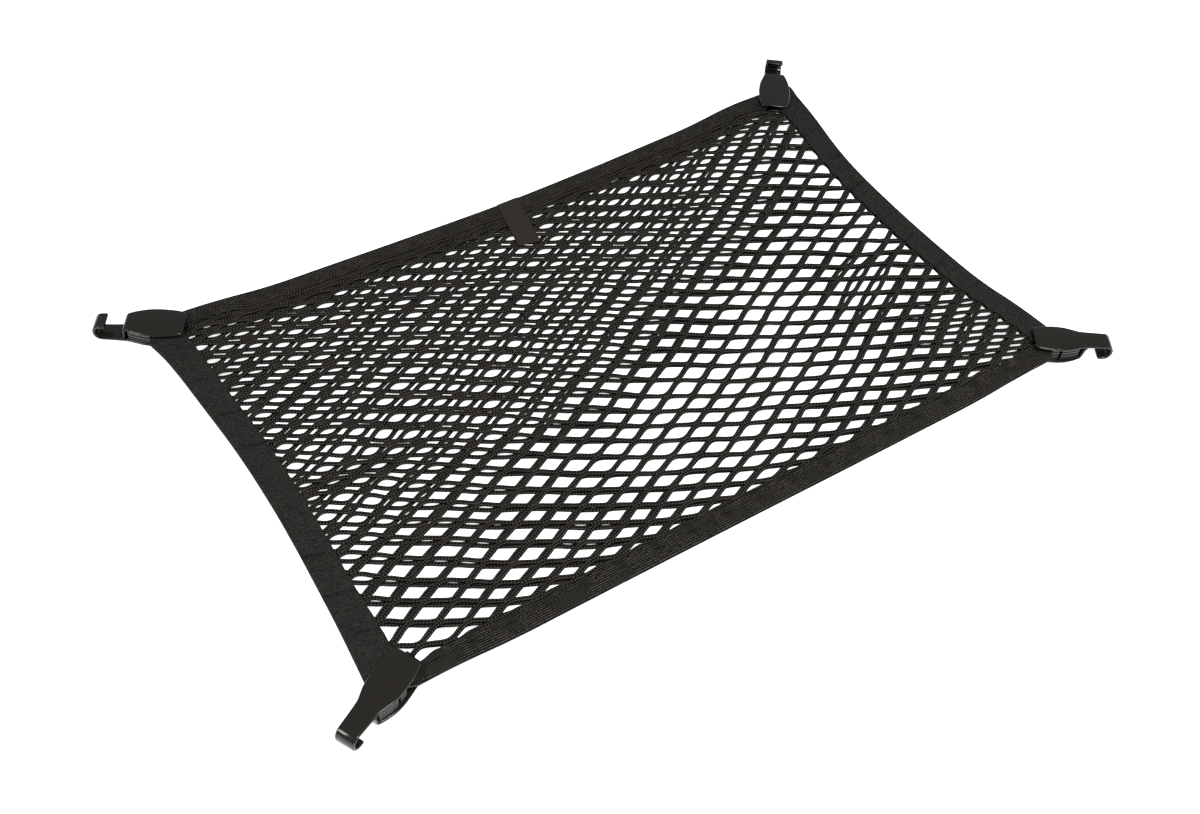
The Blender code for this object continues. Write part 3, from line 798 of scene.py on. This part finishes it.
def netting(layer, share, middle, node):
    """One layer: its two slants of cord cut off under the bands, and its selvedge."""
    name = f"netting_{layer}"
    plan = slid_to_layer(cord_lines(share), middle)
    centre, open_share = layer_height(plan, middle)
    half = (NET_EDGE_THICK + (CORD_THICK - NET_EDGE_THICK) * open_share) / 2
    rings, across = cord_rings(plan, centre, half)
    inside = inside_bands(plan) > -NET_UNDER_BAND
    inside &= (np.abs(plan) < FIELD_HALF).all(axis=2)
    step = np.linalg.norm(np.diff(plan, axis=1, prepend=plan[:, :1]), axis=2)
    along = np.cumsum(step, axis=1)
    follows = inside[:, 1:] & inside[:, :-1]
    joined = np.concatenate((follows, np.zeros((len(plan), 1), bool)), axis=1)[inside]

    edge, lifts = selvedge_lines(layer)
    edge_centre, _ = layer_height(edge, middle)
    edge_half = np.full(edge.shape[:2], SELVEDGE_HALF_THICK)
    edge_rings, _ = cord_rings(edge, edge_centre + lifts[:, None], edge_half)
    edge_step = np.linalg.norm(np.diff(edge, axis=1, prepend=edge[:, :1]), axis=2)
    edge_joined = np.ones(edge.shape[:2], bool)
    edge_joined[:, -1] = False

    mesh = swept(
        name,
        np.concatenate((rings[inside], edge_rings.reshape(-1, *edge_rings.shape[2:]))),
        across,
        np.concatenate((along[inside], np.cumsum(edge_step, axis=1).ravel()))[:, None],
        np.concatenate((joined, edge_joined.ravel())),
    )
    obj = place_piece(name, mesh, CORD, "knitted_cord", node)


netting("bottom", -0.5, NET_THICK / 2, "net_bottom")
netting("top", 0.5, NET_THICK * 1.5 + CLEARANCE, "net_top")


# ---------------- bands

# Sections of the bands. Columns: share of the width, then millimetres, in from the outer
# edge; height. Each runs once round the section.
FOLDED_SECTION = (
    (1, 0.0, 4.05),
    (1, -0.25, 4.38),
    (1, -0.8, 4.5),
    (1, -SEAM_IN + 0.7, 4.5),
    (1, -SEAM_IN, 4.22),
    (1, -SEAM_IN - 0.7, 4.5),
    (0.35, 0.0, 4.5),
    (0, 2.4, 4.5),
    (0, 1.1, 4.36),
    (0, 0.3, 3.75),
    (0, 0.0, 2.9),
    (0, 0.0, 1.6),
    (0, 0.3, 0.75),
    (0, 1.1, 0.14),
    (0, 2.4, 0.0),
    (0.5, 0.0, 0.0),
    (1, -0.8, 0.0),
    (1, -0.25, 0.12),
    (1, 0.0, 0.45),
    (1, -0.25, 0.78),
    (1, -0.8, 0.9),
    (0.5, 0.0, 0.9),
    (0, 1.7, 0.9),
    (0, 1.2, 2.25),
    (0, 1.7, 3.6),
    (0.5, 0.0, 3.6),
    (1, -0.8, 3.6),
    (1, -0.25, 3.72),
)
FLAT_SECTION = (
    (1, 0.0, 0.45),
    (1, -0.25, 0.78),
    (1, -0.8, 0.9),
    (1, -SEAM_IN + 0.7, 0.9),
    (1, -SEAM_IN, 0.64),
    (1, -SEAM_IN - 0.7, 0.9),
    (0.35, 0.0, 0.9),
    (0, 0.8, 0.9),
    (0, 0.25, 0.78),
    (0, 0.0, 0.45),
    (0, 0.25, 0.12),
    (0, 0.8, 0.0),
    (0.5, 0.0, 0.0),
    (1, -0.8, 0.0),
    (1, -0.25, 0.12),
)
BAND_STEP = 2.5
TOP_BAND = STACK_THICK - BAND_THICK  # the underside of the upper back elastic
SEAM_POINT = 4  # the groove's row in both sections, counted from 0

# columns: side, section, layers, height of its underside, inner edge's wave in
# millimetres and its length, node
BAND_PIECES = {
    "webbing_left": ("left", FOLDED_SECTION, 2, 0.0, 0.25, 21.0, "band_left"),
    "webbing_right": ("right", FOLDED_SECTION, 2, 0.0, 1.0, 21.0, "band_right"),
    "elastic_front": ("front", FOLDED_SECTION, 2, 0.0, 1.1, JOINT_PITCH, "band_front"),
    "elastic_back_bottom": ("back", FLAT_SECTION, 1, 0.0, 0.5, 12.0, "band_back_bottom"),
    "elastic_back_top": ("back", FLAT_SECTION, 1, TOP_BAND, 0.5, 12.0, "band_back_top"),
}


def stitch_row(name, centres, ahead):
    """A row of stitches as one mesh: each is a spindle of four six-sided rings.

    Its half length runs ahead of and behind its centre, its radius is full in the middle
    and half at both ends, and the ends dip into the cloth."""
    along, radius, dip = np.array(STITCH_RINGS).T
    along, radius = along * STITCH_LONG / 2, radius * STITCH_WIDE / 2
    sides = np.arange(6)
    turn = np.radians(60.0 * sides)
    ahead = ahead / np.linalg.norm(ahead, axis=1, keepdims=True)
    aside = np.column_stack((-ahead[:, 1], ahead[:, 0], np.zeros(len(ahead))))
    middle = centres[:, None] + ahead[:, None] * along[:, None] - dip[:, None] * (0, 0, 1)
    out = aside[:, None] * np.cos(turn)[:, None] + np.sin(turn)[:, None] * (0, 0, 1)
    rings = middle[:, :, None] + out[:, None] * radius[:, None, None]
    count = len(centres) * len(along)
    joined = np.arange(count) % len(along) != len(along) - 1
    run = np.tile(along, len(centres))[:, None]
    return swept(name, rings.reshape(count, len(sides), 3), sides, run, joined)


def line_of_stitches(name, points):
    """Stitches laid end to end, one to each pitch, along a line of points."""
    run = run_along(points)
    at = np.arange(STITCH_PITCH / 2, run[-1], STITCH_PITCH)
    centres, ahead = (read_at(place, run, points) for place in (at, at + LOOK_AHEAD))
    return stitch_row(name, centres, ahead - centres)


def band_piece(name, side, section, layers, low, wave, wave_long, node):
    """The section carried along its band, with a waved inner edge and the common rise,
    and the seam's stitches in its groove. Its map counts across from the inner edge."""
    rows, along = even_rows(LINES[side], BAND_STEP)
    outer, inner = rows[:, None, :2], rows[:, None, 2:]
    width = np.linalg.norm(inner - outer, axis=2)
    section = np.array(section, float)
    swell = 1 - SWELL + SWELL * np.sin(along / SWELL_LONG)
    ripple = wave * swell * np.sin(2 * np.pi * along / wave_long)
    across = section[:, 0] * (width + ripple[:, None]) + section[:, 1]
    plan = outer + (inner - outer) * (across / width)[:, :, None]
    height = low + section[None, :, 2] + rise(plan)
    rings = np.concatenate((plan, height[:, :, None]), axis=2)
    slot, material = "woven_webbing", WEBBING
    if "elastic" in name:
        slot, material = "ribbed_elastic", ELASTIC
    mesh = swept(name, rings, across - width, along[:, None])
    obj = place_piece(name, mesh, material, slot, node)
    seam = line_of_stitches(f"seam_{name}", rings[:, SEAM_POINT] + (0, 0, THREAD_LIFT))
    stitches = place_piece(f"seam_{name}", seam, THREAD, slot)


for piece_name, values in BAND_PIECES.items():
    band_piece(piece_name, *values)


# ---------------- ribbon tab


def pull_tab():
    """A ribbon that lies on the back elastic and on the netting in front of it.

    Its section, with eased edges, is carried from the band to the free end. The sewn end
    is trimmed along the band, so each row starts at its own distance down the ribbon."""
    top, end = np.array(TAB_TOP) + TABLE_SHIFT, np.array(TAB_END) + TABLE_SHIFT
    long = np.linalg.norm(end - top)
    ahead = (end - top) / long
    aside = np.array((-ahead[1], ahead[0]))
    share = np.linspace(0.0, 1.0, TAB_ROWS)
    on_band, on_net = STACK_THICK + CLEARANCE, 2 * NET_THICK + 2 * CLEARANCE
    low = np.interp(share, TAB_STEP, (on_band, on_net))
    to_end = np.minimum(share, 1 - share) * long / TAB_EASE
    round_end = np.sqrt(np.clip(1 - (1 - np.minimum(to_end, 1)) ** 2, TAB_KEEPS, 1))
    of_half, more, high = np.array(TAB_SECTION)
    wide, high = of_half * TAB_WIDE / 2 + more, high * TAB_THICK
    middle = TAB_THICK / 2
    trimmed = (TAB_TRIM + wide * aside[1]) / -ahead[1]
    down = trimmed + share[:, None] * (long - trimmed)
    plan = top + ahead * down[:, :, None] + aside * wide[:, None]
    height = low[:, None] + middle + (high - middle) * round_end[:, None]
    rings = np.concatenate((plan, height[:, :, None]), axis=2)
    mesh = swept("ribbon_tab", rings, wide, down)
    obj = place_piece("ribbon_tab", mesh, RIBBON, "ribbon", "pull_tab")

    box = np.array(TAB_BOX)
    corners = top + ahead * box[:, 1:] + aside * box[:, :1]
    thread_at = np.full(len(box), on_band + TAB_THICK + TAB_THREAD_LIFT)
    seam = line_of_stitches("seam_tab", np.column_stack((corners, thread_at)))
    stitches = place_piece("seam_tab", seam, THREAD, "ribbon")


pull_tab()


# ---------------- hooks


def half_width(along, more_in, more_out):
    """The outline's half width, drawn out at both ends to this hook's reach."""
    table = smooth_rows(HOOK_OUTLINE, samples=8)
    last = HOOK_OUTLINE[-1][0]
    drawn_out = (-more_in, WIDEST_AT, COVER_FLAT + more_out, last + more_out)
    at = np.interp(along, drawn_out, (0.0, WIDEST_AT, COVER_FLAT, last))
    return np.interp(at, table[:, 0], table[:, 1])


def path_with_arcs(corners):
    """Points along straight runs and arcs, and how far along each lies. A row is a point,
    or a centre with radius and first and last angle in degrees."""
    points = []
    for row in corners:
        if len(row) == 2:
            points.append(np.array([row], float))
        else:
            x, y, radius, first, last = row
            count = max(3, int(abs(last - first) / ARC_STEP))
            angle = np.radians(np.linspace(first, last, count))
            circle = np.column_stack((np.cos(angle), np.sin(angle)))
            points.append(np.array((x, y)) + radius * circle)
    points = np.vstack(points)
    run = run_along(points)
    at = np.unique(np.concatenate((run, np.arange(0.0, run[-1], RUN_STEP))))
    return read_at(at, run, points), at


def strip(name, path, at, half, thick, ease=EDGE_ROUND):
    """A moulded strip: an eased rectangle carried along a side view (distance, height).

    The section shrinks over the same ease at each end, so that its rim is round."""
    ends = np.array(ROUND_ROWS) * ease
    more = np.unique(np.concatenate((at, ends, at[-1] - ends)))
    path = read_at(more, at, path)
    half = np.interp(more, at, half)
    ahead = np.gradient(path, axis=0)
    ahead /= np.linalg.norm(ahead, axis=1, keepdims=True)
    normal = np.column_stack((-ahead[:, 1], ahead[:, 0]))
    to_end = np.minimum(more, more[-1] - more)
    short_of = ease - np.minimum(to_end, ease)
    inset = ease - np.sqrt(np.clip(ease**2 - short_of**2, 0.0, None))
    half_wide = (half - inset)[:, None]
    half_thick = (thick / 2 - inset * END_THIN)[:, None]
    angle = np.radians(ROUND_ANGLES)
    corner = np.column_stack((np.cos(angle), np.sin(angle)))
    rings, signs = [], ((1, 1), (-1, 1), (-1, -1), (1, -1))
    for number, (sign_w, sign_h) in enumerate(signs):
        turn = corner if number % 2 == 0 else corner[::-1]
        aside = sign_w * (half_wide - ease * (1 - turn[:, 0]))
        out = sign_h * (half_thick - min(ease, thick / 2) * (1 - turn[:, 1]))
        along = path[:, :1] + normal[:, :1] * out
        height = path[:, 1:] + normal[:, 1:] * out
        rings.append(np.stack((along, aside, height), axis=2))
    rings = np.concatenate(rings, axis=1)
    return swept(name, rings, rings[:, :, 1], more[:, None])


def upright(name, loop, heights, insets):
    """A closed upright wall: a plan loop repeated at each height, drawn in by its inset."""
    loop = np.asarray(loop, float)
    ahead = np.roll(loop, -1, axis=0) - np.roll(loop, 1, axis=0)
    ahead /= np.linalg.norm(ahead, axis=1, keepdims=True)
    inward = np.column_stack((-ahead[:, 1], ahead[:, 0]))
    rings = [
        np.column_stack((loop + inward * inset, np.full(len(loop), height)))
        for height, inset in zip(heights, insets)
    ]
    run = np.cumsum(np.linalg.norm(np.diff(loop, axis=0, prepend=loop[:1]), axis=1))
    return swept(name, np.array(rings), run, np.array(heights, float)[:, None])


def long_plate(more_in, more_out):
    """Tongue end, flat arm and the J, seen from the side, at the outline's width."""
    inner = PLATE_THICK / 2
    radius = J_OUTER - inner
    arm_end = ARM_END + more_out
    path, at = path_with_arcs(
        (
            (-more_in, inner),
            (arm_end, J_OUTER, radius, -90, 0),
            (arm_end, HOOK_HIGH - J_OUTER, radius, 0, 90),
            (arm_end - J_LIP, HOOK_HIGH - inner),
        )
    )
    return strip("plate", path, at, half_width(path[:, 0], more_in, more_out), PLATE_THICK)


def cover_plate(more_in, more_out):
    """The cover from the side: flat, then the ramp that comes down on the arm in an S.

    It is wider than the outline up to the ramp and narrower at its foot, less a quarter
    ellipse at both corners of the net end."""
    inner = PLATE_THICK / 2
    flat_end = COVER_FLAT + more_out
    top, foot = HOOK_HIGH - inner, PLATE_THICK + COVER_FOOT
    steep = 90 - RAMP_TURN
    path, at = path_with_arcs(
        (
            (-more_in, top),
            (flat_end, top - RAMP_BEND, RAMP_BEND, 90, steep),
            (flat_end + RAMP_LONG, foot + RAMP_BEND, RAMP_BEND, 180 + steep, 270),
        )
    )
    into_corner = np.clip(1 - (path[:, 0] + more_in) / CORNER_LONG, 0.0, 1.0)
    corner_in = CORNER_WIDE * (1 - np.sqrt(1 - into_corner**2))
    down_ramp = (flat_end - RAMP_BEND, flat_end + RAMP_LONG)
    wider = np.interp(path[:, 0], down_ramp, (COVER_WIDER, FOOT_NARROWER))
    half = wider * half_width(path[:, 0], more_in, more_out) - corner_in
    return strip("cover", path, at, half, COVER_THICK, COVER_ROUND)


def plan_loop(along, right, left):
    """A closed loop in plan, out along the right side and back along the left one."""
    return np.column_stack(
        (np.concatenate((along, along[::-1])), np.concatenate((right, left[::-1])))
    )


def ribbed_block(more_in, more_out):
    """The wall between both plates: the outline drawn in, with grooves along it."""
    along = np.linspace(BLOCK_FROM, BLOCK_TO + more_out, BLOCK_ROWS)
    rib = BLOCK_RIB * np.cos(2 * np.pi * along / BLOCK_RIB_PITCH)
    half = half_width(along, more_in, more_out) - WALLS_IN + rib
    return upright("block", plan_loop(along, -half, half), WALL_HEIGHTS, WALL_INSETS)


def side_walls(more_in, more_out):
    """Two thin walls that carry the block's outline on towards the net, after a notch."""
    along = np.linspace(WALL_FROM, WALL_TO, WALL_ROWS)
    outer = half_width(along, more_in, more_out) - WALLS_IN
    inner = outer - WALL_THICK
    return [
        upright("wall", plan_loop(along, *sides), WALL_HEIGHTS, WALL_INSETS)
        for sides in ((-outer, -inner), (inner, outer))
    ]


def clamp_jaws():
    """Two jaws that press the corner of the bands between the plates."""
    half = np.full(2, JAW_HALF)
    loop = plan_loop(np.array((JAW_FROM, JAW_TO)), -half, half)
    reach = (HOOK_HIGH - STACK_THICK) / 2 - CLEARANCE
    heights = np.array((JAW_END, reach - JAW_EASE, reach))
    insets = (0, 0, JAW_EASE)
    low = upright("jaw_low", loop, heights, insets)
    high = upright("jaw_high", loop, (HOOK_HIGH - heights)[::-1], insets[::-1])
    return low, high


def tongue(more_in):
    """The wall at the net end and the bar across it, each a straight strip."""
    pieces = []
    for name, (first, last, low, high, half, thick, ease) in NET_END_STRIPS.items():
        path, at = path_with_arcs(((first - more_in, low), (last - more_in, high)))
        pieces.append(strip(name, path, at, np.full(len(path), half), thick, ease))
    return pieces


def to_corner(mesh, corner):
    """Turns a piece from the hook's own axes into its corner of the net."""
    heading, upside_down = HOOKS[corner][2:4]
    place = Matrix.Translation((*(hook_point(corner, 0.0, 0.0) * MM), 0.0))
    place @= Matrix.Rotation(math.radians(heading), 4, "Z")
    if upside_down:
        place @= Matrix.Translation((0, 0, HOOK_HIGH * MM))
        place @= Matrix.Rotation(math.pi, 4, "X")
    mesh.transform(place)
    return mesh


for corner_name, (*_, further_in, further_out) in HOOKS.items():
    low_jaw, high_jaw = clamp_jaws()
    arm, lid, block = (
        make(further_in, further_out) for make in (long_plate, cover_plate, ribbed_block)
    )
    walls = side_walls(further_in, further_out)
    for part, meshes in (
        ("plate", [arm, low_jaw, *tongue(further_in)]),
        ("cover", [lid, block, *walls, high_jaw]),
    ):
        mesh = to_corner(joined_meshes(part, meshes), corner_name)
        node = f"hook_{part}_{corner_name}"
        place_piece(f"clamp_{part}_{corner_name}", mesh, PLASTIC, "moulded_plastic", node)


# ---------------- studio


EVEN_LIGHT = 0.3  # of the surround, to all but the camera
FLOOR_REACH, FLOOR_DROP = 6.0, 0.0002  # metres
FLOOR_GLOW = 0.85  # a backlit white sweep
# columns: name, place in metres, side in metres, watts
LIGHTS = (
    ("overhead", (0.15, -1.0, 2.1), 0.8, 36.0),
    ("left", (-1.8, 0.2, 1.6), 0.7, 17.0),
    ("right", (1.5, -0.7, 0.7), 0.4, 3.5),
)


def studio():
    """A pale floor, three soft lights and an even white surround."""
    floor = linked("floor", bpy.data.meshes.new("floor"))
    around = ((-1, -1), (1, -1), (1, 1), (-1, 1))
    corners = [(x * FLOOR_REACH, y * FLOOR_REACH, -FLOOR_DROP) for x, y in around]
    floor.data.from_pydata(corners, [], [(0, 1, 2, 3)])
    glow = {"Emission Color": (1, 1, 1, 1), "Emission Strength": FLOOR_GLOW}
    material, _, _ = new_material(
        "matt white floor", {"Base Color": colour("#f6f6f6"), "Roughness": 0.9, **glow}
    )
    floor.data.materials.append(material)

    # The surround is white to look at, as the floor is, and gives a weaker even light.
    world = bpy.data.worlds.new("studio")
    world.use_nodes = True
    surround = world.node_tree.nodes["Background"]
    surround.inputs["Color"].default_value = (1, 1, 1, 1)
    seen = add_node(world.node_tree, "ShaderNodeLightPath").outputs["Is Camera Ray"]
    shown = add_node(world.node_tree, "MULTIPLY_ADD", seen, 1.0 - EVEN_LIGHT, EVEN_LIGHT)
    world.node_tree.links.new(shown.outputs[0], surround.inputs["Strength"])
    bpy.context.scene.world = world

    for name, place, side, power in LIGHTS:
        light = bpy.data.lights.new(name, "AREA")
        light.size, light.energy = side, power
        holder = linked(name, light)
        holder.location = place
        holder.rotation_euler = (-Vector(place)).to_track_quat("-Z", "Y").to_euler()


def camera():
    """The photograph's viewpoint: looks at the aim point, then rolls about that line."""
    ahead = (Vector(CAMERA_AIM) - Vector(CAMERA_PLACE)).normalized()
    level = ahead.cross(Vector((0, 0, 1))).normalized()
    raised = level.cross(ahead)
    roll = math.radians(CAMERA_ROLL)
    right = math.cos(roll) * level + math.sin(roll) * raised
    turn = Matrix((right, right.cross(ahead), -ahead)).transposed().to_4x4()
    data = bpy.data.cameras.new("camera")
    data.lens, data.sensor_width = CAMERA_LENS, CAMERA_SENSOR
    holder = linked("camera", data)
    holder.matrix_world = Matrix.Translation(CAMERA_PLACE) @ turn
    bpy.context.scene.camera = holder


studio()
camera()
bpy.context.scene.view_settings.view_transform = "Standard"

bpy.context.view_layer.update()
